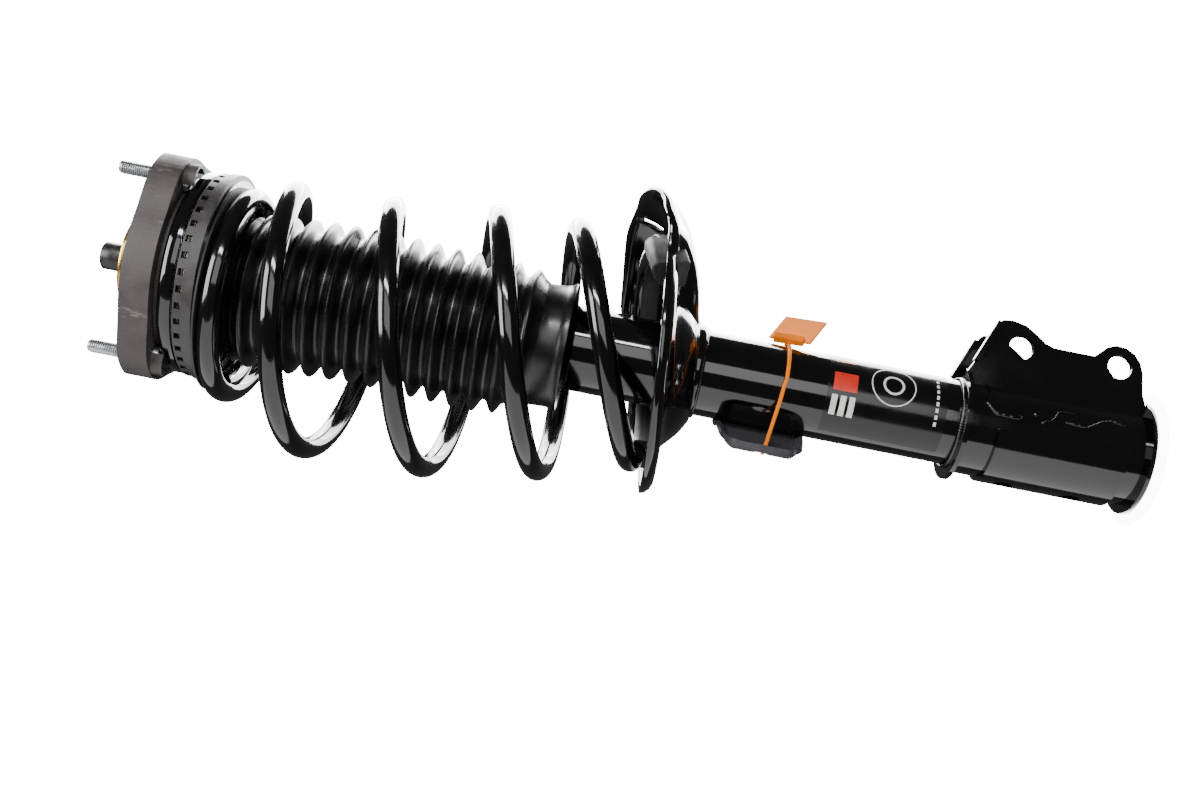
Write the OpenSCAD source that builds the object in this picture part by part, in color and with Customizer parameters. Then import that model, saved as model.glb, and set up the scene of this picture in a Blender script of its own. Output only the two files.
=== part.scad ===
// Front suspension strut assembly: top mount, bearing, side-load spring, boot,
// twin-tube damper, stabiliser tab and two-bolt knuckle bracket.
// Origin: strut axis at the mount's mating face. +Z up the axis, +X along the bracket ears.
// Everything below the mating face has negative z. All sizes in millimetres.

/* [Top mount] */
// Diameter of the circle the three studs stand on
stud_circle = 120; // [118:0.5:124]
// Stud thread diameter
stud_d = 8; // [8:1:10]
// Stud length above the mating face
stud_length = 22; // [18:1:28]
// Thickness of the housing plate
plate_t = 17; // [16:0.5:18]

/* [Damper] */
// Outside diameter of the strut tube
tube_d = 51; // [50:0.5:52]
// Wall of the strut tube
tube_wall = 2.5; // [2:0.1:3]
// Piston rod diameter
rod_d = 22; // [20:0.5:22]
// Radial running clearance of rod and piston
run_gap = 0.04; // [0.02:0.01:0.08]
// Distance from mating face down to the tube's lower rim
body_end = 590; // [585:1:600]

/* [Spring] */
// Wire diameter of the coil spring
wire_d = 13; // [12:0.25:13.5]
// Wire centre radius of the middle coils
coil_r = 75; // [74:0.5:76]
// Wire centre radius of the top end coil
pigtail_r = 55; // [55:0.5:56]
// Total turns of the wire, dead top half turn included
coil_turns = 5.55; // [5.4:0.05:5.6]

/* [Boot] */
// Convolutions in the dust boot
boot_folds = 14; // [10:1:15]
// Outside radius of the boot folds
boot_r = 46; // [44:0.5:46]

/* [Knuckle bracket] */
// Centre distance of the two knuckle bolt holes
bolt_pitch = 59; // [57:0.5:60]
// Radius of the knuckle bolt holes
bolt_r = 7.2; // [6.2:0.1:7.5]
// Clear width between the two ears
ear_gap = 34; // [32:0.5:36]
// Sheet thickness of the bracket
ear_t = 3.5; // [3:0.1:4]

/* [Stabiliser tab] */
// Radius of the hole for the stabiliser link
link_r = 5.6; // [5:0.1:6.5]

/* [Hidden] */
$fn = 96;
seat_turn = -12;
stud_angles = [-45, -165, 75];
stud_pcr = stud_circle / 2;
stud_r = stud_d / 2;
shank_r = stud_r + 0.5;
tube_r = tube_d / 2;
bore_r = tube_r - tube_wall;
rod_r = rod_d / 2;
thread_r = 7;
lobe_r = 10;
plate_r = 60;
housing_r = 62;
ball_ring_r = 44;
ball_r = 3;
ball_z = -30.5;
ball_count = 30;
window_count = 40;
seat_tilt = 5.1;
seat_z = -303.5;
wire_r = wire_d / 2;
bracket_top = body_end - 110;
hole_x = 47.5;
hole_top = body_end - 80.5;
hole_low = hole_top + bolt_pitch;
tab_turn = -120;
tab_z = -368;

// ---- helpers -------------------------------------------------------------

module ring(outer, inner, low, high) {
  translate([0, 0, low]) difference() {
    cylinder(r = outer, h = high - low);
    translate([0, 0, -1]) cylinder(r = inner, h = high - low + 2);
  }
}

// Plate outline: a disc that swells into three round-nosed lobes.
function turn_from(a, b) = abs((a - b + 900) % 360 - 180);
function lobe_share(a) = smooth(1.12 - min([for (s = stud_angles) turn_from(a, s)]) / 30);
module lobed_outline(disc_r, lug_r) polygon([for (a = [0:3:357])
  let (r = disc_r + (stud_pcr + lug_r - disc_r) * lobe_share(a)) [r * cos(a), r * sin(a)]]);

// Side faces of a swept tube: rings of 'per' points, 'rows' rings.
function sweep_sides(rows, per) = [for (i = [0:rows - 2]) for (j = [0:per - 1])
  [i * per + j, i * per + (j + 1) % per, (i + 1) * per + (j + 1) % per, (i + 1) * per + j]];

function smooth(x) = x <= 0 ? 0 : x >= 1 ? 1 : x * x * (3 - 2 * x);

// ---- top mount -------------------------------------------------------------

module mount_housing() color([0.2, 0.18, 0.18]) difference() {
  union() {
    translate([0, 0, -plate_t]) linear_extrude(plate_t) lobed_outline(housing_r, lobe_r);
    translate([0, 0, -20]) cylinder(r = 54, h = 5);
    for (a = stud_angles) rotate(a) difference() {
      translate([stud_pcr, 0, -24]) cylinder(r = lobe_r - 0.6, h = 10);
      translate([40, -15, -25]) cube([21.2, 30, 12]);
    }
  }
  translate([0, 0, -21]) cylinder(r = 33, h = 22);
  for (a = stud_angles) rotate(a) translate([stud_pcr, 0, 0]) {
    translate([0, 0, -30]) cylinder(r = shank_r, h = 40);
    translate([0, 0, -30]) cylinder(r = 7.6, h = 14);
  }
}

module mount_rubber() color([0.07, 0.07, 0.07]) difference() {
  ring(33, 15, -20, -1);
  for (s = [-1, 1]) translate([0, 0, s < 0 ? -20 : -1]) rotate_extrude()
    translate([24, 0]) circle(r = 4);
}

module mount_inner_sleeve() color([0.55, 0.56, 0.57]) ring(15, thread_r, -24, 7);

module mount_studs() color([0.75, 0.77, 0.78])
  for (a = stud_angles) rotate(a) translate([stud_pcr, 0, 0]) {
    translate([0, 0, -16]) cylinder(r = shank_r, h = 16);
    cylinder(r = stud_r, h = stud_length - 1);
    translate([0, 0, stud_length - 1]) cylinder(r1 = stud_r, r2 = stud_r - 1, h = 1);
    translate([0, 0, -20]) cylinder(r = 7.5, h = 4);
  }

module mount_lower_plate() color([0.03, 0.03, 0.03]) {
  ring(plate_r, 17, -22, -20);
  ring(plate_r, 57.5, -28.5, -21);
}

module rebound_washer() color([0.8, 0.65, 0.25]) rotate_extrude() polygon([
  [thread_r, 7], [19, 7], [23, 8.2], [26, 10.6], [27.5, 15], [25.6, 15],
  [24.3, 11.8], [21.8, 9.9], [18.5, 9], [thread_r, 9]]);

module rod_nut() color([0.6, 0.6, 0.6]) difference() {
  intersection() {
    translate([0, 0, 9]) cylinder(r = 12.12, h = 10, $fn = 6);
    translate([0, 0, 9]) cylinder(r1 = 14, r2 = 11.4, h = 10);
  }
  translate([0, 0, 8]) cylinder(r = thread_r, h = 12);
}

module rod_cap() color([0.12, 0.12, 0.12]) difference() {
  union() {
    translate([0, 0, 19.5]) cylinder(r = 8.25, h = 13.5);
    translate([0, 0, 33]) cylinder(r1 = 8.25, r2 = 7.25, h = 1);
  }
  translate([0, 0, 19]) cylinder(r = thread_r, h = 11.5);
}

module piston_rod() color([0.85, 0.86, 0.87]) {
  translate([0, 0, -395]) cylinder(r = rod_r, h = 371);
  translate([0, 0, -25]) cylinder(r = thread_r, h = 54);
  translate([0, 0, 29]) cylinder(r1 = thread_r, r2 = thread_r - 1, h = 1);
  translate([0, 0, -423]) cylinder(r = 6, h = 29);
}

module bearing_upper_race() color([0.62, 0.63, 0.64]) difference() {
  ring(51, 38, -29.5, -22);
  translate([0, 0, ball_z]) rotate_extrude()
    translate([ball_ring_r, 0]) circle(r = ball_r + run_gap);
}

module bump_stop_cup() color([0.25, 0.25, 0.26]) difference() {
  ring(26, rod_r, -40, -28);
  translate([0, 0, -41]) cylinder(r = 24.2, h = 11);
}

module bump_stop() color([0.86, 0.8, 0.55]) rotate_extrude() polygon([
  [rod_r, -30], [24, -30], [24, -44], [19.5, -48], [22.5, -53], [22.5, -60],
  [18, -64], [21, -69], [21, -76], [16.5, -80], [19, -85], [18, -96], [15, -100], [rod_r, -100]]);

module piston() color([0.5, 0.5, 0.5]) difference() {
  ring(15.6, 6, -415, -395);
  ring(17, 14.4, -411, -399);
  for (k = [0:5]) rotate(60 * k) translate([10.5, 0, -416]) cylinder(r = 1.6, h = 22);
}

module piston_band() color([0.2, 0.2, 0.2]) ring(16 - run_gap, 14.4, -411, -399);

module piston_nut() color([0.6, 0.6, 0.6]) difference() {
  translate([0, 0, -422]) cylinder(r = 9.8, h = 7, $fn = 6);
  translate([0, 0, -423]) cylinder(r = 6, h = 9);
}

module rebound_stop() color([0.3, 0.3, 0.32]) ring(15, rod_r, -258, -248.3);

// ---- bearing ---------------------------------------------------------------

module bearing_balls() color([0.8, 0.8, 0.82])
  for (k = [0:ball_count - 1]) rotate(360 * k / ball_count)
    translate([ball_ring_r, 0, ball_z]) sphere(r = ball_r, $fn = 20);

module bearing_cage() color([0.75, 0.72, 0.6]) difference() {
  ring(48.6, 39.4, -31.2, -29.8);
  for (k = [0:ball_count - 1]) rotate(360 * k / ball_count)
    translate([ball_ring_r, 0, -32]) cylinder(r = ball_r + 0.1, h = 3, $fn = 24);
}

module bearing_lower_housing() color([0.09, 0.09, 0.09]) difference() {
  rotate_extrude() polygon([[36, -41], [62, -41], [62, -35.4], [61, -35.4], [61, -30],
    [58, -30], [58, -39], [36, -39]]);
  for (k = [0:window_count - 1]) rotate(360 * k / window_count + 3)
    translate([56, -2, -34.6]) cube([8, 4, 3.6]);
}

module bearing_lower_race() color([0.62, 0.63, 0.64]) difference() {
  ring(51, 38, -39, -31.5);
  translate([0, 0, ball_z]) rotate_extrude()
    translate([ball_ring_r, 0]) circle(r = ball_r + run_gap);
}

// ---- spring, seats and boot --------------------------------------------------

module upper_spring_seat() color([0.03, 0.03, 0.03]) {
  ring(59, 36, -42, -41);
  ring(39, 36, -52, -42);
}

module upper_spring_pad() color([0.1, 0.1, 0.1])
  translate([-6 * cos(seat_turn), -6 * sin(seat_turn), 0]) ring(61, 49, -43.1, -42);

// Boot wall as a closed zigzag: out along the folds, back along the inner face.
fold_pitch = 171 / boot_folds;
function fold_points(shift) = [for (k = [0:boot_folds - 1])
  let (z = -58 - k * fold_pitch) each [
    [39.5 + shift, z - 0.12 * fold_pitch], [boot_r + shift, z - 0.46 * fold_pitch],
    [boot_r + shift, z - 0.58 * fold_pitch], [39.5 + shift, z - 0.92 * fold_pitch]]];

function reversed(list) = [for (i = [len(list) - 1:-1:0]) list[i]];

module dust_boot() color([0.05, 0.05, 0.05]) rotate_extrude() polygon(concat(
  [[39.2, -43], [41.6, -43.6], [41.6, -56]], fold_points(0), [[36.8, -230], [36.8, -243],
  [38.6, -246], [37.4, -247], [35.4, -243.6], [35.4, -229.4]],
  reversed(fold_points(-1.4)), [[40, -56.5], [39.2, -54]]));

// Wire centre line by turn: t runs from -0.5 at the dead top end to coil_turns - 0.5.
function wire_radius(t) = pigtail_r + (coil_r - pigtail_r) * smooth((t - 0.35) / 0.85)
  - (coil_r - 63) * smooth((t - 3.2) / 1.4);
function eased(x, soft) = x <= 0 ? 0 : x * x / (x + soft);
function wire_drop(t) = 49.9 + 69 * eased(t - 0.4, 0.45) - 20 * eased(t - 3, 0.35);
function wire_shift(t) = -6 - 8.5 * smooth(t / 1.2) + 18 * smooth((t - 1.9) / 2.5);
function wire_lean(t) = 0.078 * min(max(t - 1.1, 0), 3.4);
function wire_point(t) = let (p = 360 * t, r = wire_radius(t))
  [r * cos(p) + wire_shift(t), r * sin(p), wire_lean(t) * r * cos(p) - wire_drop(t)];

wire_steps = 40 * 6;
wire_facets = 14;

module coil_spring() color([0.03, 0.03, 0.03]) {
  points = [for (i = [0:wire_steps]) let (
      t = -0.5 + coil_turns * i / wire_steps,
      a = wire_point(t - 0.003), b = wire_point(t + 0.003), c = wire_point(t),
      dir = (b - a) / norm(b - a),
      side = cross(dir, [0, 0, 1]) / norm(cross(dir, [0, 0, 1])),
      up = cross(side, dir))
    for (j = [0:wire_facets - 1]) let (w = 360 * j / wire_facets)
      c + wire_r * (cos(w) * side + sin(w) * up)];
  last = wire_steps * wire_facets;
  rotate(seat_turn) mirror([0, 1, 0]) polyhedron(points, concat(
    [[for (j = [wire_facets - 1:-1:0]) j]],
    sweep_sides(wire_steps + 1, wire_facets),
    [[for (j = [0:wire_facets - 1]) last + j]]), convexity = 10);
}

// ---- damper ------------------------------------------------------------------

module strut_tube() color([0.02, 0.02, 0.02]) ring(tube_r, bore_r, 2 - body_end, -228);

module bump_cap() color([0.03, 0.03, 0.03]) {
  ring(tube_r + 2, 12, -228, -225.5);
  ring(tube_r + 2, tube_r, -237, -227);
}

module rod_seal() color([0.06, 0.06, 0.06]) ring(bore_r, rod_r + run_gap, -233, -228);

module rod_guide() color([0.45, 0.45, 0.46]) {
  ring(bore_r, rod_r + run_gap, -242, -233);
  ring(18, rod_r + run_gap, -248, -241);
}

module pressure_tube() color([0.6, 0.6, 0.62]) ring(18, 16, 13 - body_end, -248);

module base_valve() color([0.45, 0.45, 0.46]) difference() {
  union() {
    translate([0, 0, 4 - body_end]) cylinder(r = bore_r - 0.5, h = 4);
    translate([0, 0, 8 - body_end]) cylinder(r = 18, h = 5);
  }
  for (k = [0:5]) rotate(60 * k) translate([20.5, 0, -body_end]) cylinder(r = 1.2, h = 12);
}

module tube_end_cap() color([0.03, 0.03, 0.03]) {
  translate([0, 0, -body_end]) cylinder(r = tube_r, h = 2);
  translate([0, 0, 2 - body_end]) cylinder(r = bore_r, h = 2);
}

// Lower seat: tilted dish round the tube with a deep guard on the far upper side.
guard_shift = 38;

module seat_frame() translate([0, 0, seat_z]) rotate(seat_turn)
  rotate([0, -seat_tilt, 0]) children();

module tube_clearance(r) translate([0, 0, -400]) cylinder(r = r, h = 200);

module lower_spring_seat() color([0.03, 0.03, 0.03]) difference() {
  union() {
    seat_frame() rotate_extrude() polygon([[27, -20], [33, -17.5], [47, -4], [50, -2.5],
      [74.4, -2.5], [75, 0.8], [72.8, 0.8], [72.2, 0], [49.5, 0], [44.5, -1.6], [31, -14.6], [27, -16.6]]);
    seat_frame() difference() {
      translate([guard_shift, 0, 0]) rotate(-70) rotate_extrude(angle = 165) polygon([
        [65, 26], [65.2, 14], [63, 2], [57, -8], [46, -14], [30, -16.5], [30, -14],
        [45, -11.6], [55.2, -6], [60.6, 3], [62.7, 14], [62.5, 26]]);
      translate([0, 0, -30]) cylinder(r = 50, h = 90);
      translate([0, 0, -0.2]) cylinder(r = 74.5, h = 60);
      translate([guard_shift - 10, -75, 2.5]) rotate(-42) cube([95, 60, 60]);
      translate([guard_shift, 0, 2.6]) rotate(35) translate([50, -5, 4]) cube([20, 10, 3]);
      translate([guard_shift, 0, 12]) rotate(64) rotate([0, 90, 0]) cylinder(r = 2.5, h = 80);
    }
  }
  tube_clearance(28);
  seat_frame() cylinder(r = 44.4, h = 60);
}

module seat_collar() color([0.03, 0.03, 0.03]) rotate_extrude() polygon([
  [tube_r, -327], [27, -327], [28, -326], [28, -303], [27.3, -302], [tube_r, -302]]);

module lower_spring_pad() color([0.13, 0.13, 0.13]) seat_frame()
  rotate_extrude(angle = 200) polygon([[50.5, 0.1], [71, 0.1], [71, 1.6], [50.5, 1.6]]);

// ---- brackets ------------------------------------------------------------------

module ear_outline() polygon([[10, 480], [27.5, 480], [35, 484], [60.5, 495],
  [62.4, 497], [63, 503], [61.4, 511], [57, 518], [53, 523.5], [51.2, 529], [51.2, 553],
  [54, 556], [58, 560], [60.2, 565], [59.8, 571], [57, 576.5], [52, 580.5], [46, 582.4],
  [34, 583.5], [27, 586], [25, 590], [10, 590]]);

module knuckle_bracket() color([0.02, 0.02, 0.02]) difference() {
  union() {
    ring(tube_r + ear_t, tube_r, -body_end, -bracket_top);
    ring(34, tube_r + 1, -body_end, 2.6 - body_end);
    ring(34, tube_r + 1, -bracket_top - 2.6, -bracket_top);
    for (s = [-1, 1]) translate([0, s * (ear_gap + ear_t) / 2, 0]) rotate([90, 0, 0])
      translate([0, 0, -ear_t / 2]) linear_extrude(ear_t) translate([0, 590 - body_end])
        mirror([0, 1]) ear_outline();
    for (s = [-1, 1]) translate([34, s * (ear_gap / 2 + ear_t + 2), -bracket_top - 3.2])
      rotate([0, 23.2, 0]) translate([0, -2.5, -1.3]) cube([28, 5, 2.6]);
  }
  translate([0, 0, -body_end - 1]) cylinder(r = tube_r, h = 130);
  translate([26, -ear_gap / 2, -body_end - 1]) cube([60, ear_gap, 130]);
  for (z = [hole_top, hole_low]) translate([hole_x, 60, -z]) rotate([90, 0, 0])
    cylinder(r = bolt_r, h = 120);
}

module bracket_brace() color([0.02, 0.02, 0.02]) difference() {
  rotate(100) rotate_extrude(angle = 160) translate([tube_r + ear_t, -body_end + 14])
    square([2.5, 76]);
  for (z = [-555, -515]) rotate(180) translate([20, 0, z]) rotate([0, 90, 0])
    cylinder(r = 6, h = 30);
}

// Stabiliser tab: tray whose two folded ends are welded to the tube.
module link_bracket() color([0.03, 0.03, 0.03]) rotate(tab_turn) difference() {
  union() {
    translate([11, -27, tab_z - 24.5]) cube([37.5, 3.5, 49]);
    for (z = [tab_z - 24.5, tab_z + 21]) translate([11, -27, z]) difference() {
      cube([34, 12, 3.5]);
      translate([12, 12, -1]) rotate(-22) cube([40, 20, 6]);
    }
  }
  tube_clearance(tube_r);
  translate([39.5, -20, tab_z]) rotate([90, 0, 0]) cylinder(r = link_r, h = 12);
  for (z = [tab_z - 24.5, tab_z + 24.5]) translate([48.5, 0, z]) rotate([0, 45, 0])
    translate([-6, -40, -6]) cube([12, 60, 12]);
}

module label_film() color([0.05, 0.05, 0.05]) rotate(-152) rotate_extrude(angle = 152)
  translate([tube_r, -470]) square([0.15, 70]);

// ---- tie and tag ---------------------------------------------------------------

// Strap route in the cross plane, going once round the tube and through the tab's hole.
strap_r = tube_r + 1.4;
function on_tube(a) = [strap_r * cos(a), strap_r * sin(a)];
function in_tab(along, below) = [along * cos(tab_turn) + below * sin(tab_turn),
  along * sin(tab_turn) - below * cos(tab_turn)];
strap_route = concat([for (a = [-14:-6:-98]) on_tube(a)],
  [in_tab(38.5, 12), in_tab(39.5, 20), in_tab(39.8, 27), in_tab(38.5, 30.5), in_tab(34, 31.2),
   in_tab(20, 30.4)],
  [for (a = [-216:-8:-368]) on_tube(a)]);
function strap_z(i) = tab_z - 7.5 * (1 - sin(180 * min(i / 20, 1)));

module tie_strap() color([1, 0.45, 0.05]) {
  count = len(strap_route);
  points = [for (i = [0:count - 1]) let (
      ahead = strap_route[(i + 1) % count], behind = strap_route[(i + count - 1) % count],
      along = (ahead - behind) / norm(ahead - behind), out = [along[1], -along[0]] * 0.5,
      at = strap_route[i], z = strap_z(i))
    each [[at[0] + out[0], at[1] + out[1], z + 1.5], [at[0] - out[0], at[1] - out[1], z + 1.5],
      [at[0] - out[0], at[1] - out[1], z - 1.5], [at[0] + out[0], at[1] + out[1], z - 1.5]]];
  last = (count - 1) * 4;
  polyhedron(points, concat(sweep_sides(count, 4),
    [for (j = [0:3]) [last + j, last + (j + 1) % 4, (j + 1) % 4, j]]), convexity = 8);
}

module tie_tag() color([1, 0.5, 0.05]) rotate(seat_turn) translate([30.6, 0, -364])
  rotate([0, 0, 42]) rotate([0, 8, 0]) difference() {
    union() {
      translate([0, -0.8, -26]) cube([22, 1.6, 26]);
      translate([-0.3, -2.2, -23]) cube([3, 4.4, 20]);
    }
    translate([18, 5, -4]) rotate([90, 0, 0]) cylinder(r = 1.6, h = 10);
  }

// ---- draw ----------------------------------------------------------------------

mount_housing();
mount_rubber();
mount_inner_sleeve();
mount_studs();
mount_lower_plate();
rebound_washer();
rod_nut();
rod_cap();
piston_rod();
bearing_upper_race();
bump_stop_cup();
bump_stop();
piston();
piston_band();
piston_nut();
rebound_stop();
bearing_balls();
bearing_cage();
bearing_lower_housing();
bearing_lower_race();
upper_spring_seat();
upper_spring_pad();
dust_boot();
coil_spring();
strut_tube();
bump_cap();
rod_seal();
rod_guide();
pressure_tube();
base_valve();
tube_end_cap();
lower_spring_seat();
seat_collar();
lower_spring_pad();
knuckle_bracket();
bracket_brace();
link_bracket();
label_film();
tie_strap();
tie_tag();
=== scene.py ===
import math
import bmesh
import bpy
from mathutils import Matrix, Vector


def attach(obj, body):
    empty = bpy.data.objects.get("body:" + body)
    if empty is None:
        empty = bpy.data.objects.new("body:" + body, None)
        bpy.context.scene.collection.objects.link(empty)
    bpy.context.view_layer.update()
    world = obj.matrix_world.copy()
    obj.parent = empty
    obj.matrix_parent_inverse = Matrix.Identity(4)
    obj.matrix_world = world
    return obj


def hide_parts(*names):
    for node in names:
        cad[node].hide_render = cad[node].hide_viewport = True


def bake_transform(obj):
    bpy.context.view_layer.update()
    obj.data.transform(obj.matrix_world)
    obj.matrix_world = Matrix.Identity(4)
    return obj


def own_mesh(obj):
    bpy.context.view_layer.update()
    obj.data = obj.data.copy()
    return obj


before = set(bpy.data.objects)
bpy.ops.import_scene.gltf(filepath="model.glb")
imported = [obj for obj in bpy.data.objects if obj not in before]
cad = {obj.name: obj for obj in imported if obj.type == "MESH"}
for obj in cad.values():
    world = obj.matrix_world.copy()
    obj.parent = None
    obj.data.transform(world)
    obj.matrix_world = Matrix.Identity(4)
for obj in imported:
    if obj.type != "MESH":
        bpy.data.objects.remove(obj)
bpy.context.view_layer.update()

MM = 0.001
TURN = math.radians(-12)
UP = Vector((math.cos(TURN), math.sin(TURN), 0))
NEAR = Vector((math.sin(TURN), -math.cos(TURN), 0))
AXIS = Vector((0, 0, 1))
STUD_ANGLES = (-45, 75, 195)
STUD_CIRCLE_R = 60
TAB_TURN = math.radians(-120)
TAB_Z = -368
TAB_HOLE = 39.5
TAB_HOLE_R = 5.6
SEAT_Z = -303.5
SEAT_TILT = 5.1
STRUT_FOOT = -592


def at(up, near, drop):
    """Point from its height over the axis, its distance this side of it and its drop below the mount face."""
    return UP * up + NEAR * near - AXIS * drop


def smooth(x):
    x = min(max(x, 0), 1)
    return x * x * (3 - 2 * x)


# ---- finishes -----------------------------------------------------------------

def colour(code):
    channels = [int(code[i:i + 2], 16) / 255 for i in (0, 2, 4)]
    return [c / 12.92 if c <= 0.04045 else ((c + 0.055) / 1.055) ** 2.4 for c in channels] + [1]


def add(tree, kind, values=(), **settings):
    made = tree.nodes.new(kind)
    for key, value in settings.items():
        setattr(made, key, value)
    for key, value in dict(values).items():
        if isinstance(value, bpy.types.NodeSocket):
            tree.links.new(value, made.inputs[key])
        else:
            made.inputs[key].default_value = value
    return made


def finish(name, dark, light, rough, grain_mm, metal=0.0, ior=1.5, relief=0.05, fine_mm=0.6,
           coat=0.0, marks=None, glow=None):
    """Surface with cloudy variation of tone and gloss, a fine relief and, if asked, pale rubbed marks and an
    emitted glow as (colour, strength), a painted glow on any part that is no lamp."""
    made = bpy.data.materials.new(name)
    made.use_nodes = True
    tree = made.node_tree
    shader = tree.nodes["Principled BSDF"]
    place = add(tree, "ShaderNodeTexCoord").outputs["Object"]
    cloud = add(tree, "ShaderNodeTexNoise", {"Vector": place, "Scale": 1000 / grain_mm, "Detail": 4.0})
    spread = add(tree, "ShaderNodeMapRange", {"Value": cloud.outputs["Fac"], "From Min": 0.3,
                                              "From Max": 0.7})
    tone = add(tree, "ShaderNodeMix", {"Factor": spread.outputs["Result"], "A": colour(dark),
                                       "B": colour(light)},
               data_type="RGBA")
    # The colour sockets of a mix node share their names with its number sockets.
    tone.inputs[6].default_value = colour(dark)
    tone.inputs[7].default_value = colour(light)
    top_colour = tone.outputs[2]
    if marks:
        stretch = add(tree, "ShaderNodeMapping", {"Vector": place, "Scale": (1.0, 1.6, 0.35)})
        scuff = add(tree, "ShaderNodeTexNoise",
                    {"Vector": stretch.outputs["Vector"], "Scale": 75.0, "Detail": 9.0, "Roughness": 0.72})
        mask = add(tree, "ShaderNodeMapRange",
                   {"Value": scuff.outputs["Fac"], "From Min": 0.6, "From Max": 0.72, "To Max": 0.75})
        worn = add(tree, "ShaderNodeMix", {"Factor": mask.outputs["Result"]}, data_type="RGBA")
        tree.links.new(top_colour, worn.inputs[6])
        worn.inputs[7].default_value = colour(marks)
        top_colour = worn.outputs[2]
    tree.links.new(top_colour, shader.inputs["Base Color"])
    gloss = add(tree, "ShaderNodeMapRange",
                {"Value": cloud.outputs["Fac"], "From Min": 0.3, "From Max": 0.7, "To Min": rough[0],
                 "To Max": rough[1]})
    tree.links.new(gloss.outputs["Result"], shader.inputs["Roughness"])
    grit = add(tree, "ShaderNodeTexNoise", {"Vector": place, "Scale": 1000 / fine_mm, "Detail": 3.0})
    bump = add(tree, "ShaderNodeBump", {"Strength": relief, "Distance": 0.0003,
                                        "Height": grit.outputs["Fac"]})
    tree.links.new(bump.outputs["Normal"], shader.inputs["Normal"])
    shader.inputs["Metallic"].default_value = metal
    shader.inputs["IOR"].default_value = ior
    shader.inputs["Coat Weight"].default_value = coat
    shader.inputs["Coat Roughness"].default_value = 0.04
    if glow:
        shader.inputs["Emission Color"].default_value = colour(glow[0])
        shader.inputs["Emission Strength"].default_value = glow[1]
    return made


# Stove enamel: deep black with a wet gloss and a trace of orange peel.
enamel = finish("gloss black stove enamel", "030304", "070708", (0.07, 0.12), 18, relief=0.05, fine_mm=3.5,
                coat=0.4)
# Tray paint: black satin whose colour is lifted to charcoal grey, painted light standing in for the broad
# soft light it catches.
painted_lit_tray_black = finish("tray black lightened to grey as painted light", "3c3c40", "48484c", (0.3, 0.4), 12, relief=0.06,
                    fine_mm=2.0)
# Powder coat on the wire: as black, with slightly softer highlights.
powder = finish("gloss black powder coat", "030303", "080808", (0.08, 0.15), 14, relief=0.06, fine_mm=2.8,
                coat=0.3)
# Moulded boot rubber: satin black whose folds show soft grey edges.
boot_rubber = finish("satin moulded rubber", "050506", "0b0b0c", (0.24, 0.36), 9, ior=1.5, relief=0.06,
                     fine_mm=1.6)
# Plain rubber: dull charcoal with a dry skin.
dull_rubber = finish("dull black rubber", "101011", "1c1c1d", (0.5, 0.66), 6, ior=1.52, relief=0.15,
                     fine_mm=0.8)
# Mount casting: matt grey-brown coat with pale rubbed marks.
casting = finish("coated mount casting", "2a2424", "383131", (0.48, 0.62), 11, relief=0.22, fine_mm=1.0,
                 marks="7d726c")
# Bearing housing: dark grey filled plastic, faintly mottled.
filled_plastic = finish("glass filled nylon, dark grey", "1d1a1a", "2b2727", (0.38, 0.52), 7, ior=1.53,
                        relief=0.12)
# Zinc plate: bright blue-white metal on the threads.
zinc = finish("bright zinc plate", "b4b8bc", "c6c9cc", (0.3, 0.36), 6, metal=1.0, relief=0.01)
# Yellow zinc: straw gold with a drift to green.
yellow_zinc = finish("yellow zinc plate", "b48a34", "d6b866", (0.2, 0.32), 5, metal=1.0, relief=0.06)
# Phosphate: dark satin metal on the rod's capped end.
phosphate = finish("phosphated steel", "2c2b2b", "444242", (0.3, 0.44), 4, metal=0.8, relief=0.1)
# Turned bare steel: bright grey metal with soft streaky highlights.
turned_steel = finish("turned bare steel", "9a9b9d", "b9babc", (0.2, 0.32), 4, metal=1.0)
# Hard chrome: mirror bright on the rod.
hard_chrome = finish("hard chrome", "c4c6ca", "d4d6da", (0.04, 0.08), 8, metal=1.0, relief=0.01)
# Unfilled moulded nylon: ivory, low gloss.
nylon = finish("natural nylon", "c9c3a8", "dcd7bf", (0.4, 0.5), 5, ior=1.53)
# Cellular polyurethane: dry straw yellow with open pores.
foam = finish("cellular foam", "b8a060", "d8c58c", (0.7, 0.85), 2.5, relief=0.6, fine_mm=0.7)
# Pressed and sintered iron: dull grey with a grainy skin.
sintered = finish("sintered iron", "4a4a4b", "68686a", (0.45, 0.6), 2, metal=0.9, relief=0.3)
# Filled fluoropolymer tape: near black, waxy.
ptfe = finish("filled bearing tape", "1a1a1b", "2a2a2b", (0.35, 0.45), 3)
# Printed polyester film: black, flatter and slightly duller than the enamel round it.
film = finish("black label film", "060607", "0b0b0c", (0.14, 0.2), 12, relief=0.02)
# Screen inks on the film: opaque, even colours with a low sheen.
orange_ink = finish("orange label ink", "e8781a", "f28a2c", (0.25, 0.32), 8, relief=0.02)
red_ink = finish("red label ink", "c8281c", "d63424", (0.25, 0.32), 8, relief=0.02)
white_ink = finish("white label ink", "d8d6d2", "eceae6", (0.3, 0.38), 8, relief=0.02)
# Tie nylon: vivid orange with a painted glow over all of it, standing in for light coming through the nylon.
orange_nylon_painted_glow = finish("orange nylon with painted glow", "ea7000", "f07a00", (0.5, 0.6), 6, ior=1.25, relief=0.04,
                      glow=("ff9400", 0.22))
# Light table: an even white that throws light back at the lower rim.
pale_floor = finish("pale studio floor", "f6f6f6", "fbfbfb", (0.5, 0.56), 60, relief=0.0,
                    glow=("ffffff", 10.0))


# ---- mesh helpers ----------------------------------------------------------------

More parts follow.
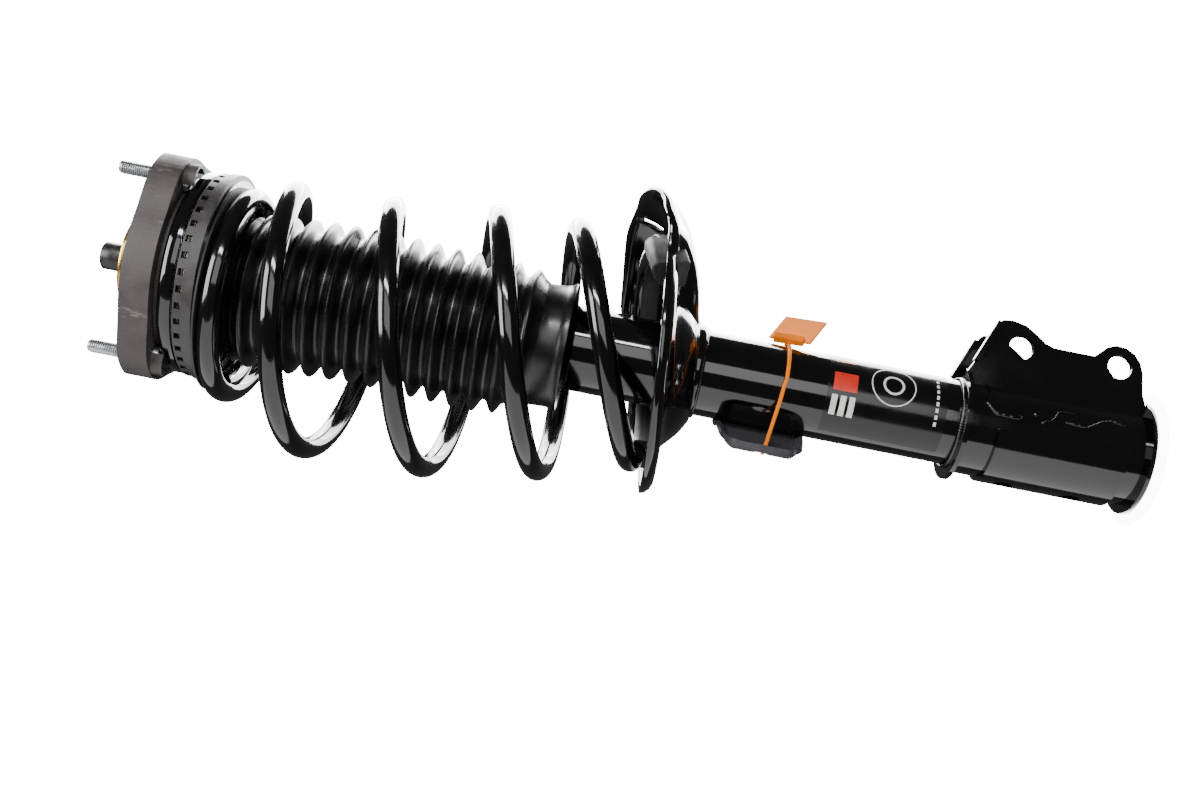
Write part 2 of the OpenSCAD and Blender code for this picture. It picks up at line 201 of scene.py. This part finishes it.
def piece(name, points, faces, material, body=None, stands_for=(), slot=None, sharp=40, bevel_mm=0.0):
    """Mesh from points in millimetres, closed, normals outward, riding on its body."""
    mesh = bpy.data.meshes.new(name)
    mesh.from_pydata([Vector(p) * MM for p in points], [], faces)
    work = bmesh.new()
    work.from_mesh(mesh)
    bmesh.ops.remove_doubles(work, verts=work.verts, dist=1e-6)
    bmesh.ops.recalc_face_normals(work, faces=work.faces)
    work.to_mesh(mesh)
    work.free()
    made = placed(name, mesh)
    dress(made, material, sharp, bevel_mm)
    return joined(made, body, stands_for)


def placed(name, data):
    made = bpy.data.objects.new(name, data)
    bpy.context.scene.collection.objects.link(made)
    return made


def joined(made, body, stands_for=()):
    """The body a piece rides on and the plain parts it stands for."""
    if body:
        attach(made, body)
    if stands_for:
        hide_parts(*stands_for)
    return made


def dress(made, material, sharp=40, bevel_mm=0.0):
    """Material, smooth shading that breaks at sharp edges, and rounded edges."""
    made.data.materials.clear()
    made.data.materials.append(material)
    if bevel_mm:
        round_edges = made.modifiers.new("rounded edges", "BEVEL")
        round_edges.width = bevel_mm * MM
        round_edges.segments = 3
        round_edges.limit_method = "ANGLE"
        round_edges.angle_limit = math.radians(35)
        round_edges.harden_normals = True
    made.data.shade_smooth()
    made.data.set_sharp_from_angle(angle=math.radians(sharp))


def turned(name, profile, material, body, stands_for=(), slot=None, steps=128, shift=None, **rest):
    """Closed section of (radius, height) points turned about the axis; shift moves each height."""
    points, faces = [], []
    count = len(profile)
    for i in range(steps):
        a = 2 * math.pi * i / steps
        for r, z in profile:
            side = shift(z) if shift else Vector((0, 0, 0))
            points.append(Vector((r * math.cos(a), r * math.sin(a), z)) + side)
    for i in range(steps):
        for j in range(count):
            ring, after = i * count, (i + 1) % steps * count
            faces.append((ring + j, ring + (j + 1) % count, after + (j + 1) % count, after + j))
    return piece(name, points, faces, material, body, stands_for, slot, **rest)


def swept(name, route, section, material, closed=False, **rest):
    """Section points (side, up) carried along a route of (point, side, up) stations."""
    points, faces = [], []
    per = len(section)
    for middle, side, up in route:
        points += [middle + side * a + up * b for a, b in section]
    rows = len(route)
    for i in range(rows if closed else rows - 1):
        for j in range(per):
            k, n = i * per, (i + 1) % rows * per
            faces.append((k + j, k + (j + 1) % per, n + (j + 1) % per, n + j))
    if not closed:
        faces.append(tuple(range(per)))
        faces.append(tuple((rows - 1) * per + j for j in range(per)))
    return piece(name, points, faces, material, **rest)


def follow(made):
    """Bakes the piece's placement into its mesh points."""
    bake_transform(made)


def circle_section(radius, sides):
    return [(radius * math.cos(2 * math.pi * j / sides), radius * math.sin(2 * math.pi * j / sides))
            for j in range(sides)]


# ---- spring and boot ----------------------------------------------------------------

WIRE_R = 6.5


def eased(x, soft):
    return 0 if x <= 0 else x * x / (x + soft)


def wire_middle(t):
    """Centre of the wire after t turns, counted from above the bearing's upper edge."""
    radius = 55 + 20 * smooth((t - 0.35) / 0.85) - 12 * smooth((t - 3.2) / 1.4)
    drop = 49.9 + 69 * eased(t - 0.4, 0.45) - 20 * eased(t - 3, 0.35)
    shift = -6 - 8.5 * smooth(t / 1.2) + 18 * smooth((t - 1.9) / 2.5)
    lean = 0.078 * min(max(t - 1.1, 0), 3.4)
    a = 2 * math.pi * t
    return at(radius * math.cos(a) + shift, radius * math.sin(a), drop - lean * radius * math.cos(a))


def coil_spring():
    steps, sides, first, last = 440, 28, -0.5, 5.05
    route, section = [], circle_section(1, sides)
    for i in range(steps + 1):
        t = first + (last - first) * i / steps
        along = (wire_middle(t + 0.002) - wire_middle(t - 0.002)).normalized()
        side = along.cross(AXIS).normalized()
        # The cut ends are broken at the corner.
        thick = WIRE_R - 1.2 * max(0, 1 - min(i, steps - i) / 1.5)
        route.append((wire_middle(t), side * thick, side.cross(along) * thick))
    made = swept("coil-spring", route, section, powder, stands_for=("coil_spring",), slot="spring_coating",
                 sharp=60)
    follow(made)
    return made


def boot_profile():
    outer = [(39.4, 43.5), (41.5, 43.3), (42.2, 44.5), (42.2, 52.5), (43.2, 53.2), (43.2, 54.8), (41.2, 55.6)]
    pitch, folds, per = 12.35, 14, 12
    for k in range(folds * per):
        x = k / per
        peak = 46.6 - 3.2 * smooth((x - 11.5) / 2.5) - 1.2 * smooth(1 - x)
        wave = (0.5 - 0.5 * math.cos(2 * math.pi * x)) ** 1.15
        outer.append((38.4 + (peak - 38.4) * wave, 56.2 + pitch * x))
    outer += [(37.6, 229.6), (36.6, 231), (36.6, 240.5), (37.2, 243), (38.7, 246), (38.4, 247.2)]
    inner = [(max(r - 1.5, 34.8), s) for r, s in reversed(outer[4:-3])]
    return [(r, -s) for r, s in outer + [(37.4, 247), (35.6, 243.6)] + inner + [(39.4, 52)]]


def boot_lean(z):
    """The collar sits low under the spring's upper end and the folds hang back to the axis."""
    collar = -3.5 * (1 - smooth((-z - 45) / 90))
    return UP * (collar - 2.2 * smooth((-z - 120) / 70) * smooth((250 + z) / 60 + 0.4))


def dust_boot():
    profile = boot_profile()
    made = turned("dust-boot", profile, boot_rubber, None, ("dust_boot",), "boot_rubber", steps=112,
                  shift=boot_lean, sharp=50)
    follow(made)
    return made


coil_spring()
dust_boot()

# ---- top mount ----------------------------------------------------------------------

def repeated(name, master, turns_deg, material, body, stands_for=(), sharp=40):
    """Instances of one master mesh at the given turns about the axis, made real as one mesh."""
    holder = placed(name, bpy.data.meshes.new(name))
    tree = bpy.data.node_groups.new(name + " layout", "GeometryNodeTree")
    tree.interface.new_socket("Count", in_out="INPUT", socket_type="NodeSocketInt")
    tree.interface.new_socket("First turn", in_out="INPUT", socket_type="NodeSocketFloat")
    tree.interface.new_socket("Step", in_out="INPUT", socket_type="NodeSocketFloat")
    tree.interface.new_socket("Geometry", in_out="OUTPUT", socket_type="NodeSocketGeometry")
    given = add(tree, "NodeGroupInput")
    places = add(tree, "GeometryNodeMeshLine", {"Count": given.outputs["Count"], "Offset": (0, 0, 0)})
    number = add(tree, "GeometryNodeInputIndex")
    turn = add(tree, "ShaderNodeMath", {0: number.outputs[0], 1: given.outputs["Step"]}, operation="MULTIPLY")
    total = add(tree, "ShaderNodeMath", {0: turn.outputs[0], 1: given.outputs["First turn"]}, operation="ADD")
    spin = add(tree, "ShaderNodeCombineXYZ", {"Z": total.outputs[0]})
    source = add(tree, "GeometryNodeObjectInfo", {"Object": master})
    copies = add(tree, "GeometryNodeInstanceOnPoints",
                 {"Points": places.outputs["Mesh"], "Instance": source.outputs["Geometry"],
                  "Rotation": spin.outputs[0]})
    real = add(tree, "GeometryNodeRealizeInstances", {"Geometry": copies.outputs["Instances"]})
    faced = add(tree, "GeometryNodeSetMaterial", {"Geometry": real.outputs["Geometry"], "Material": material})
    add(tree, "NodeGroupOutput", {"Geometry": faced.outputs["Geometry"]})
    layout = holder.modifiers.new("layout", "NODES")
    layout.node_group = tree
    sockets = {s.name: s.identifier for s in tree.interface.items_tree if s.in_out == "INPUT"}
    layout[sockets["Count"]] = len(turns_deg)
    layout[sockets["First turn"]] = math.radians(turns_deg[0])
    layout[sockets["Step"]] = math.radians(turns_deg[1] - turns_deg[0])
    graph = bpy.context.evaluated_depsgraph_get()
    mesh = bpy.data.meshes.new_from_object(holder.evaluated_get(graph))
    holder.modifiers.remove(layout)
    holder.data = mesh
    dress(holder, material, sharp)
    bpy.data.objects.remove(master)
    joined(holder, body, stands_for)


def stud_master():
    """One M8 stud with its pressed head and a helical thread above the mount face."""
    points, faces = [], []
    sides, pitch, start, end = 32, 1.25, 1.5, 21.4
    rows = int((end - start) / pitch * 8)
    core = [(7.3, -20), (7.5, -19.6), (7.5, -16), (4, -16), (4, 0.6)]
    levels = []
    for r, z in core:
        levels.append([(r, z)] * sides)
    for i in range(rows + 1):
        z = start + (end - start) * i / rows
        ring = []
        for j in range(sides):
            phase = (z / pitch - j / sides) % 1
            ridge = abs(2 * phase - 1)
            fade = smooth((z - start) / 1.5) * smooth((end - z) / 1.2)
            ring.append((3.42 + 0.55 * ridge * fade + 0.35 * smooth((start + 1 - z) / 1), z))
        levels.append(ring)
    levels.append([(2.9, 22)] * sides)
    for ring in levels:
        for j, (r, z) in enumerate(ring):
            a = 2 * math.pi * j / sides
            points.append((STUD_CIRCLE_R + r * math.cos(a), r * math.sin(a), z))
    for i in range(len(levels) - 1):
        for j in range(sides):
            k, n = i * sides, (i + 1) * sides
            faces.append((k + j, k + (j + 1) % sides, n + (j + 1) % sides, n + j))
    faces.append(tuple(range(sides)))
    faces.append(tuple((len(levels) - 1) * sides + j for j in range(sides)))
    return piece("stud-master", points, faces, zinc)


repeated("mount-studs", stud_master(), STUD_ANGLES, zinc, "top_mount", ("mount_studs",), 50)

turned("cup-washer", [(7.2, 7), (18.6, 7), (21.4, 7.5), (24, 8.7), (26, 10.6), (27.2, 13), (27.5, 14.6),
                      (26.9, 15.2),
                      (26, 14.8), (25.4, 13), (24.3, 11.6), (22.4, 10.2), (20.2, 9.3), (18.2, 9), (7.2, 9)],
       yellow_zinc, "top_mount", ("rebound_washer",), "yellow_zinc", sharp=60)
turned("rod-end-cap", [(7.1, 19.6), (7.9, 19.6), (8.25, 20), (8.25, 32.4), (8.0, 33.2), (7.3, 33.8),
                       (6.2, 34),
                       (3.2, 34), (2.9, 33.6), (2.9, 30.8), (7.1, 30.6)], phosphate, "top_mount",
       ("rod_cap",),
       "dark_steel", sharp=50)
turned("mount-lower-plate", [(17, -22), (17, -20.2), (57.2, -20), (58.8, -20.5), (59.8, -21.6), (60.2, -23.2),
                             (60.2, -27.6), (59.9, -28.3), (59.0, -28.5), (57.9, -28.3), (57.7, -27.5),
                             (57.5, -23.4),
                             (56.4, -22)], enamel, "top_mount", ("mount_lower_plate",), "black_paint",
       sharp=50)


# ---- damper tube -------------------------------------------------------------------------

turned("strut-tube", [(23, -588), (25.5, -588), (25.5, -500), (25.5, -400), (25.5, -300), (25.5, -229),
                      (25.1, -228),
                      (23, -228), (23, -400)], enamel, "damper_body", ("strut_tube",), "black_paint",
       steps=160)
turned("seat-weld-collar", [(25.5, -327), (26.8, -327.2), (28.1, -326.2), (28.4, -324.6), (28.4, -316),
                            (28.4, -304),
                            (27.6, -302.4), (25.5, -302)], enamel, "damper_body", ("seat_collar",),
       "black_paint",
       sharp=60)

# ---- lower seat, pad and end stop --------------------------------------------------------

def seat_point(turn_deg, r, height):
    """Point on the tilted seat; the turn starts at the upper side and passes this side of the axis."""
    a = math.radians(turn_deg)
    rise = math.tan(math.radians(SEAT_TILT)) * r * math.cos(a)
    return at(r * math.cos(a), r * math.sin(a), -SEAT_Z - height - rise)


def between(table, x):
    """Value at x on a smooth line through (x, value) stations."""
    for (x0, v0), (x1, v1) in zip(table, table[1:]):
        if x <= x1:
            return v0 + (v1 - v0) * smooth((x - x0) / (x1 - x0))
    return table[-1][1]


DISH = [(28.4, -19), (28.9, -17.4), (32, -15.8), (38, -11.6), (43, -6.6), (46.5, -3.2), (50, -1.4),
        (56, -0.6),
        (62, -0.4), (67, -0.4), (70.5, 0), (72.8, 1.2), (74.3, 3), (75, 5.2)]
GUARD = [(28.4, -19), (29.6, -17.9), (36, -16.6), (44, -15.8), (52, -14.8), (60, -13.2), (68, -11.2),
         (76, -8.4),
         (84, -4.6), (90, 0), (94, 5), (97, 10.5), (99, 17), (100, 24)]
GUARD_SHARE = [(-180, 0), (-128, 0), (-84, 1), (24, 1), (38, 0), (180, 0)]
GUARD_EDGE = [(-180, 4), (-125, 4), (-85, 18), (-62, 27), (-38, 28), (-18, 23), (0, 15.5), (18, 9), (30, 5),
              (180, 4)]


def guard_reach(turn_deg):
    a = math.radians(turn_deg + 12)
    return max(75, 38 * math.cos(a) + math.sqrt(65 ** 2 - (38 * math.sin(a)) ** 2))


def lower_seat():
    steps, points, faces = 180, [], []
    for i in range(steps):
        turn = -180 + 360 * i / steps
        share, edge, reach = between(GUARD_SHARE, turn), between(GUARD_EDGE, turn), guard_reach(turn)
        for (r0, h0), (r1, h1) in zip(DISH, GUARD):
            r1 = 28.4 + (r1 - 28.4) * (reach - 28.4) / 71.6
            h1 = h1 if h1 < 0 else h1 * edge / 24
            points.append(seat_point(turn, r0 + (r1 - r0) * share, h0 + (h1 - h0) * share))
    per = len(DISH)
    slots = {(i, j) for i in (88, 89, 90, 91, 92) for j in (10,)} | {(76, 10), (76, 11)}
    for i in range(steps):
        for j in range(per - 1):
            if (i, j) not in slots:
                k, n = i * per + j, (i + 1) % steps * per + j
                faces.append((k, k + 1, n + 1, n))
    mesh = bpy.data.meshes.new("lower-seat")
    mesh.from_pydata([p * MM for p in points], [], faces)
    made = placed("lower-seat", mesh)
    dress(made, enamel, 70)
    sheet = made.modifiers.new("sheet thickness", "SOLIDIFY")
    sheet.thickness = 2.5 * MM
    sheet.offset = -1 if made.data.polygons[0].normal.z > 0 else 1
    sheet.use_even_offset = True
    joined(made, "damper_body", ("lower_spring_seat",))


def along_coil(first, last, steps):
    """Stations on the end coil: middle, outward and up."""
    stations = []
    for i in range(steps + 1):
        t = first + (last - first) * i / steps
        along = (wire_middle(t + 0.002) - wire_middle(t - 0.002)).normalized()
        side = along.cross(AXIS).normalized()
        if side.dot(wire_middle(t) * 1) < 0:
            side = -side
        up = side.cross(along)
        stations.append((wire_middle(t), side, up if up.z > 0 else -up))
    return stations


def coil_rests():
    channel = [(-8.6, 0.6), (-9, -2), (-9, -9.2), (9.2, -9.2), (9.4, -1), (8.8, 3.4), (7.8, 4), (7, 2.4)]
    channel += [(6.85 * math.cos(a), 6.85 * math.sin(a))
                for a in [math.radians(d) for d in range(0, -181, -20)]]
    channel += [(-7.1, 2.2)]
    swept("coil-rest", along_coil(4.56, 5.06, 60), channel, dull_rubber, body="damper_body",
          stands_for=("lower_spring_pad",), slot="rubber", bevel_mm=0.5)
    block = [(-8.4, 5), (-9, -9.2), (9.2, -9.2), (9.8, 3), (9, 10), (6, 12.4), (1.5, 12), (-4, 9)]
    swept("coil-end-stop", along_coil(5.055, 5.12, 6), block, dull_rubber, body="damper_body", slot="rubber",
          bevel_mm=1.2)


lower_seat()
coil_rests()


# ---- label, tie, tag and link tray ---------------------------------------------------------

def patch(name, first_turn, last_turn, top, low, material):
    """Thin printed patch on the tube between two turns (degrees) and two drops."""
    points, faces, steps = [], [], max(2, int(abs(last_turn - first_turn) / 2))
    for i in range(steps + 1):
        a = math.radians(first_turn + (last_turn - first_turn) * i / steps)
        for r, drop in ((25.66, top), (25.73, top), (25.73, low), (25.66, low)):
            points.append(at(r * math.cos(a), r * math.sin(a), drop))
    for i in range(steps):
        for j in range(4):
            k, n = 4 * i, 4 * i + 4
            faces.append((k + j, k + (j + 1) % 4, n + (j + 1) % 4, n + j))
    faces += [(0, 1, 2, 3), tuple(4 * steps + j for j in range(4))]
    return piece(name, points, faces, material, "damper_body", slot="label_print")


def band(name, mid_turn, mid_drop, outer, inner, material):
    """Thin printed ring laid on the tube."""
    points, faces, steps = [], [], 72
    for i in range(steps):
        a = 2 * math.pi * i / steps
        for r, lift in ((inner, 25.66), (inner, 25.73), (outer, 25.73), (outer, 25.66)):
            turn = math.radians(mid_turn) + r * math.cos(a) / 25.5
            points.append(at(lift * math.cos(turn), lift * math.sin(turn), mid_drop + r * math.sin(a)))
    for i in range(steps):
        for j in range(4):
            k, n = 4 * i, (i + 1) % steps * 4
            faces.append((k + j, k + (j + 1) % 4, n + (j + 1) % 4, n + j))
    return piece(name, points, faces, material, "damper_body", slot="label_print")


def label():
    patch("label-orange-block", 8, 32, 403.5, 415.5, orange_ink)
    patch("label-red-block", 53, 79, 403, 417, red_ink)
    for i in range(3):
        patch("label-white-bar-%d" % i, 85, 112, 403 + 5.2 * i, 406.4 + 5.2 * i, white_ink)
    band("label-outer-ring", 57, 438, 13.2, 12.5, white_ink)
    band("label-inner-ring", 57, 438, 6.4, 5.0, white_ink)
    for i in range(9):
        patch("label-dash-%d" % i, 24 + 9 * i, 29.5 + 9 * i, 463.4, 465, white_ink)


def tag():
    corner = at(28.8, -3, 364)
    along, rise = at(0, 12, 23.5), at(15.2, -13, 9.5)
    facing = along.cross(rise).normalized()
    sheet = [corner, corner + along, corner + along + rise, corner + rise]
    points = [p + facing * 0.8 for p in sheet] + [p - facing * 0.8 for p in sheet]
    box_faces = [(0, 1, 2, 3), (7, 6, 5, 4), (0, 4, 5, 1), (1, 5, 6, 2), (2, 6, 7, 3), (3, 7, 4, 0)]
    # The tag's orange carries a painted glow.
    piece("tag-sheet", points, box_faces, orange_nylon_painted_glow, "damper_body", ("tie_tag",), "orange_plastic",
          bevel_mm=0.5)
    start, run = corner - rise * 0.06 + along * 0.12, along * 0.72
    lip = [start, start + run, start + run + at(3.4, 1, 1.2), start + at(3.4, 1, 1.2)]
    points = [p + facing * 2.2 for p in lip] + [p - facing * 2.2 for p in lip]
    piece("tag-clasp", points, box_faces, orange_nylon_painted_glow, "damper_body", (), "orange_plastic", bevel_mm=0.6)


def tie():
    """Flat strap once round the tube, down through the tab's hole and back under the tab."""
    def in_tab(along, below):
        return Vector((along * math.cos(TAB_TURN) + below * math.sin(TAB_TURN),
                       along * math.sin(TAB_TURN) - below * math.cos(TAB_TURN), 0))
    knots = [26.9 * (UP * math.cos(math.radians(a)) + NEAR * math.sin(math.radians(a)))
             for a in range(2, 88, 7)]
    knots += [in_tab(*k) for k in ((28.8, -1), (32.2, 7), (35.6, 15), (38.4, 22), (39.4, 26.6), (37.4, 29.8),
                                   (31, 30.6), (18, 30), (8, 29))]
    knots += [27.6 * (UP * math.cos(math.radians(a)) + NEAR * math.sin(math.radians(a)))
              for a in range(202, 358, 9)]
    total = len(knots)
    smoothed = []
    for i in range(total * 6):
        k, f = divmod(i, 6)
        f /= 6
        p0, p1, p2, p3 = (knots[(k + d) % total] for d in (-1, 0, 1, 2))
        point = 0.5 * (2 * p1 + (p2 - p0) * f + (2 * p0 - 5 * p1 + 4 * p2 - p3) * f * f
                       + (3 * p1 - p0 - 3 * p2 + p3) * f ** 3)
        drop = 375.6 - 5.6 * smooth(1 - abs(i / 6 - 17.5) / 7)
        smoothed.append(Vector((point.x, point.y, -drop)))
    route = []
    for i, point in enumerate(smoothed):
        along = (smoothed[(i + 1) % len(smoothed)] - smoothed[i - 1]).normalized()
        route.append((point, AXIS, along.cross(AXIS).normalized()))
    section = [(1.1, 0.3), (0.95, 0.5), (-0.95, 0.5), (-1.1, 0.3), (-1.1, -0.3), (-0.95, -0.5),
               (0.95, -0.5), (1.1, -0.3)]
    # The strap's orange carries a painted glow.
    swept("tie-strap", route, section, orange_nylon_painted_glow, closed=True, body="damper_body",
          stands_for=("tie_strap",),
          slot="orange_plastic", sharp=60)


def link_tray():
    """Pressed tray for the stabiliser link: rounded corners, raised rim, hole near the free edge."""
    points, faces, rows, columns = [], [], 48, 40
    outward = Vector((math.cos(TAB_TURN), math.sin(TAB_TURN), 0))
    below = Vector((math.sin(TAB_TURN), -math.cos(TAB_TURN), 0))
    for i in range(rows + 1):
        f = i / rows
        for j in range(columns + 1):
            g = 2 * j / columns - 1
            half = 27.5 - 5 * f - 11 * (1 - math.sqrt(1 - max(0, (f - 0.68) / 0.32) ** 2))
            along = g * half
            reach = 3 + 45.5 * f
            flat = (1 - smooth((abs(g) - 0.74) / 0.26)) * (1 - smooth((f - 0.84) / 0.16))
            lift = 4.5 * (1 - flat) * smooth((f - 0.1) / 0.25) + 1.2 * (1 - smooth(f / 0.3))
            points.append(outward * reach + below * (26.8 - lift) + AXIS * (TAB_Z + along))
    for i in range(rows):
        for j in range(columns):
            k = i * (columns + 1) + j
            faces.append((k, k + 1, k + columns + 2, k + columns + 1))
    mesh = bpy.data.meshes.new("link-tray")
    mesh.from_pydata([p * MM for p in points], [], faces)
    made = placed("link-tray", mesh)
    sheet = made.modifiers.new("sheet thickness", "SOLIDIFY")
    sheet.thickness = 3.2 * MM
    sheet.offset = 0
    cutter_points, sides = [], 48
    for depth in (15, 40):
        for j in range(sides):
            a = 2 * math.pi * j / sides
            cutter_points.append(outward * (TAB_HOLE + TAB_HOLE_R * math.cos(a)) + below * depth
                                 + AXIS * (TAB_Z + TAB_HOLE_R * math.sin(a)))
    cutter_faces = [(j, (j + 1) % sides, sides + (j + 1) % sides, sides + j) for j in range(sides)]
    cutter_faces += [tuple(range(sides)), tuple(range(sides, 2 * sides))]
    cutter = piece("hole-cutter", cutter_points, cutter_faces, enamel)
    hole = made.modifiers.new("link hole", "BOOLEAN")
    hole.operation = "DIFFERENCE"
    hole.object = cutter
    graph = bpy.context.evaluated_depsgraph_get()
    made_mesh = bpy.data.meshes.new_from_object(made.evaluated_get(graph))
    made.modifiers.clear()
    made.data = made_mesh
    bpy.data.objects.remove(cutter)
    # The tray's charcoal grey is painted light laid over black paint.
    dress(made, painted_lit_tray_black, 40)
    joined(made, "damper_body", ("link_bracket",))


# ---- welds ---------------------------------------------------------------------------------

def on_sleeve(turn_deg, drop, lift):
    """Point at a turn from the upper side and a drop, lift from the axis."""
    a = math.radians(turn_deg)
    return at(lift * math.cos(a), lift * math.sin(a), drop)


def bead(name, places, width, lift=29.2):
    """Ripply weld bead through (turn, drop) places on the sleeve or tube."""
    knots = [on_sleeve(turn, drop, lift) for turn, drop in places]
    route, total = [], (len(knots) - 1) * 10
    for i in range(total + 1):
        k, f = divmod(i, 10)
        k, f = (k - 1, 1) if k == len(knots) - 1 else (k, f / 10)
        point = knots[k].lerp(knots[k + 1], f)
        route.append(point)
    for _ in range(3):
        route = [route[0]] + [(a + b * 2 + c) / 4 for a, b,
                              c in zip(route, route[1:], route[2:])] + [route[-1]]
    stations = []
    for i, point in enumerate(route):
        along = (route[min(i + 1, total)] - route[max(i - 1, 0)]).normalized()
        out = Vector((point.x, point.y, 0)).normalized()
        side = along.cross(out).normalized()
        ends = math.sqrt(max(0.05, 1 - (2 * i / total - 1) ** 6))
        swell = width * ends * (1 + 0.1 * math.sin(i * 1.9))
        stations.append((point, side * swell, side.cross(along) * swell * 0.7))
    swept(name, stations, circle_section(1, 14), enamel, body="damper_body", slot="black_paint", sharp=70)


def welds():
    bead("bracket-weld-upper", [(26, 492), (44, 494), (60, 492), (71, 497), (72, 511), (62, 512)], 1.5)
    bead("bracket-weld-spot", [(52, 520), (66, 520.5)], 1.3)
    bead("bracket-weld-middle", [(73, 524), (63, 530), (51, 533), (50, 547)], 1.5)
    bead("bracket-weld-lower", [(66, 538), (66, 549), (54, 558), (50, 564), (55, 573)], 1.5)
    bead("bracket-weld-far", [(-56, 496), (-64, 520), (-58, 545), (-60, 572)], 1.5)
    bead("bracket-rim-weld", [(turn, 479.6) for turn in range(0, 361, 10)], 1.4, 26.8)
    bead("seat-weld", [(turn, 326.6) for turn in range(0, 361, 10)], 1.3, 26.6)
    for end, drop in (("low", 347), ("high", 389)):
        bead("tray-weld-" + end, [(turn, drop) for turn in (172, 180, 188, 196)], 1.3, 26.2)


link_tray()
welds()
label()
tag()
tie()

bump = turned("bump-stop", [(11.2, -30), (24, -30), (24.3, -31), (24.2, -43), (23, -45.5), (19.8, -48.4),
                            (21.6, -51.5),
                            (22.8, -55), (22.4, -60), (18.4, -64.4), (20.4, -68), (21.2, -72), (20.6, -77),
                            (16.8, -80.6), (18.6, -84.5), (19, -89), (17.8, -96), (15, -100), (12, -99.6),
                            (11.2, -98)],
              foam, "top_mount", ("bump_stop",), "foam", sharp=60)
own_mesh(bump)

MATERIALS = {
    "mount_housing": (casting, 1.6), "mount_rubber": (dull_rubber, 0.6),
             "mount_inner_sleeve": (turned_steel, 0.4),
    "rod_nut": (turned_steel, 0.4), "piston_rod": (hard_chrome, 0), "bearing_upper_race": (turned_steel, 0),
    "bump_stop_cup": (filled_plastic, 0.4), "piston": (sintered, 0.3), "piston_band": (ptfe, 0),
    "piston_nut": (turned_steel, 0.3), "rebound_stop": (phosphate, 0.4), "bearing_balls": (turned_steel, 0),
    "bearing_cage": (nylon, 0), "bearing_lower_housing": (filled_plastic, 0.35),
             "bearing_lower_race": (turned_steel, 0),
    "upper_spring_seat": (enamel, 0.4), "upper_spring_pad": (dull_rubber, 0.5), "bump_cap": (enamel, 0.5),
    "rod_seal": (dull_rubber, 0), "rod_guide": (sintered, 0.3), "pressure_tube": (turned_steel, 0.3),
    "base_valve": (sintered, 0), "tube_end_cap": (enamel, 0.4), "lower_spring_seat": (enamel, 0.8),
    "lower_spring_pad": (dull_rubber, 0.8), "knuckle_bracket": (enamel, 0.9), "bracket_brace": (enamel, 0.8),
    "link_bracket": (enamel, 0.9), "label_film": (film, 0), "tie_strap": (orange_nylon_painted_glow, 0),
             "tie_tag": (orange_nylon_painted_glow, 0.4),
    "bump_stop": (foam, 0), "coil_spring": (powder, 0), "dust_boot": (boot_rubber, 0),
             "strut_tube": (enamel, 0),
    "seat_collar": (enamel, 0), "mount_studs": (zinc, 0), "rebound_washer": (yellow_zinc, 0),
             "rod_cap": (phosphate, 0),
    "mount_lower_plate": (enamel, 0),
}
for name, (material, bevel_mm) in MATERIALS.items():
    dress(cad[name], material, 35, 0 if cad[name].hide_render else bevel_mm)


# ---- floor, light and camera ----------------------------------------------------------------

def floor():
    profile = [(0.01, STRUT_FOOT), (39, STRUT_FOOT), (40, STRUT_FOOT - 0.5), (39, STRUT_FOOT - 2),
               (0.01, STRUT_FOOT - 2)]
    made = turned("floor", profile, pale_floor, None, steps=96)


def soft_box(name, middle, target, width, height, power):
    lamp = bpy.data.lights.new(name, "AREA")
    lamp.shape = "RECTANGLE"
    lamp.size = width * MM
    lamp.size_y = height * MM
    lamp.energy = power
    made = placed(name, lamp)
    facing = (target - middle).normalized()
    upward = AXIS.cross(-facing).normalized()
    across = upward.cross(-facing).normalized()
    made.matrix_world = Matrix((
        (across.x, upward.x, -facing.x, middle.x * MM), (across.y, upward.y, -facing.y, middle.y * MM),
        (across.z, upward.z, -facing.z, middle.z * MM), (0, 0, 0, 1)))
    made.visible_camera = False


def light():
    world = bpy.data.worlds.new("white studio")
    bpy.context.scene.world = world
    world.use_nodes = True
    tree = world.node_tree
    seen = add(tree, "ShaderNodeLightPath").outputs["Is Camera Ray"]
    level = add(tree, "ShaderNodeMapRange", {"Value": seen, "To Min": 0.08, "To Max": 16.0})
    tree.nodes["Background"].inputs["Color"].default_value = (1, 1, 1, 1)
    tree.links.new(level.outputs["Result"], tree.nodes["Background"].inputs["Strength"])
    centre = at(0, 0, 300)
    soft_box("top soft box", at(470, -520, 300), centre, 1300, 360, 34)
    soft_box("back soft box", at(260, -700, 300), centre, 1300, 340, 16)
    soft_box("table glow", at(-420, 120, 300), centre, 1300, 700, 5)
    soft_box("front fill", at(300, 1000, 300), centre, 900, 500, 4)
    soft_box("near strip", at(420, 560, 120), at(0, 0, 200), 420, 60, 3.2)
    soft_box("end panel", at(80, 420, -420), at(0, 0, 60), 420, 420, 8)


def camera():
    lean = math.radians(11.2)
    away = -NEAR
    right = -AXIS * math.cos(lean) + UP * math.sin(lean)
    upward = AXIS * math.sin(lean) + UP * math.cos(lean)
    place = (at(-27.5, 0, 272.4) - away * 792) * MM
    data = bpy.data.cameras.new("camera")
    data.lens = 39.9
    data.sensor_width = 36
    data.clip_start = 0.01
    made = placed("camera", data)
    made.matrix_world = Matrix((
        (right.x, upward.x, -away.x, place.x), (right.y, upward.y, -away.y, place.y),
        (right.z, upward.z, -away.z, place.z), (0, 0, 0, 1)))
    bpy.context.scene.camera = made


floor()
light()
camera()
